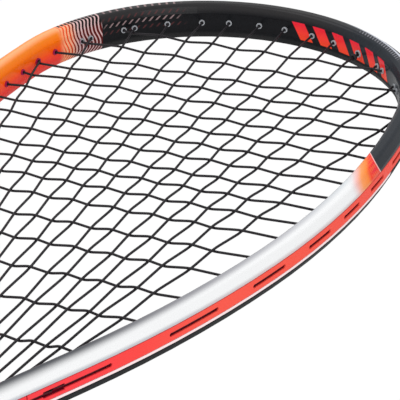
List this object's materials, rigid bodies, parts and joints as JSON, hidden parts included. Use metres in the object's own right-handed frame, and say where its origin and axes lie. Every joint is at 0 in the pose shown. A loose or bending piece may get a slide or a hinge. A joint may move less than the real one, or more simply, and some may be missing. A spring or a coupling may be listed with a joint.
{
  "type": "squash racket",
  "caption": "Teardrop-headed squash racket: hollow moulded frame, woven string bed, grommet strips, wrapped handle with butt cap and sliding grip collar.",
  "frame": {"origin": "middle of the racket's box: on its long axis, in the plane of the strings, halfway between butt and tip", "axes": "+Y along the racket from the butt to the tip of the head, +Z square to the strings, out of the front face, +X across the head to the right"},
  "size_m": [0.2028, 0.685, 0.032],
  "materials": {
    "lacquered_carbon": "gloss lacquer over carbon laminate",
    "black_nylon": "moulded, satin",
    "coral_nylon": "moulded, satin",
    "string": "smooth multifilament string",
    "pallet_foam": "moulded rigid foam",
    "plug_foam": "soft closed-cell foam",
    "weight": "filled resin",
    "cap_plastic": "moulded, fine texture",
    "staple_wire": "bright wire",
    "grip_cushion": "cushioned polyurethane wrap",
    "tape": "satin adhesive tape",
    "collar_rubber": "matt elastic rubber"
  },
  "bodies": {
    "racket": {"frame": "lacquered_carbon", "head_bumper": "black_nylon", "side_strip_left": "coral_nylon", "side_strip_right": "coral_nylon", "throat_strip_left": "coral_nylon", "throat_strip_right": "coral_nylon", "main_string": "string", "cross_string": "string", "string_knots": "string", "handle_pallet_front": "pallet_foam", "handle_pallet_back": "pallet_foam", "shaft_plugs": "plug_foam", "balance_weight": "weight", "butt_cap": "cap_plastic", "butt_staples": "staple_wire", "cushion_grip": "grip_cushion", "grip_end_tape": "tape"},
    "collar": {"grip_collar": "collar_rubber"}
  },
  "joints": [
    {"name": "collar_slide", "type": "slide", "parent": "racket", "child": "collar", "axis": [0, 1, 0], "range_m": [0, 0.044]}
  ]
}
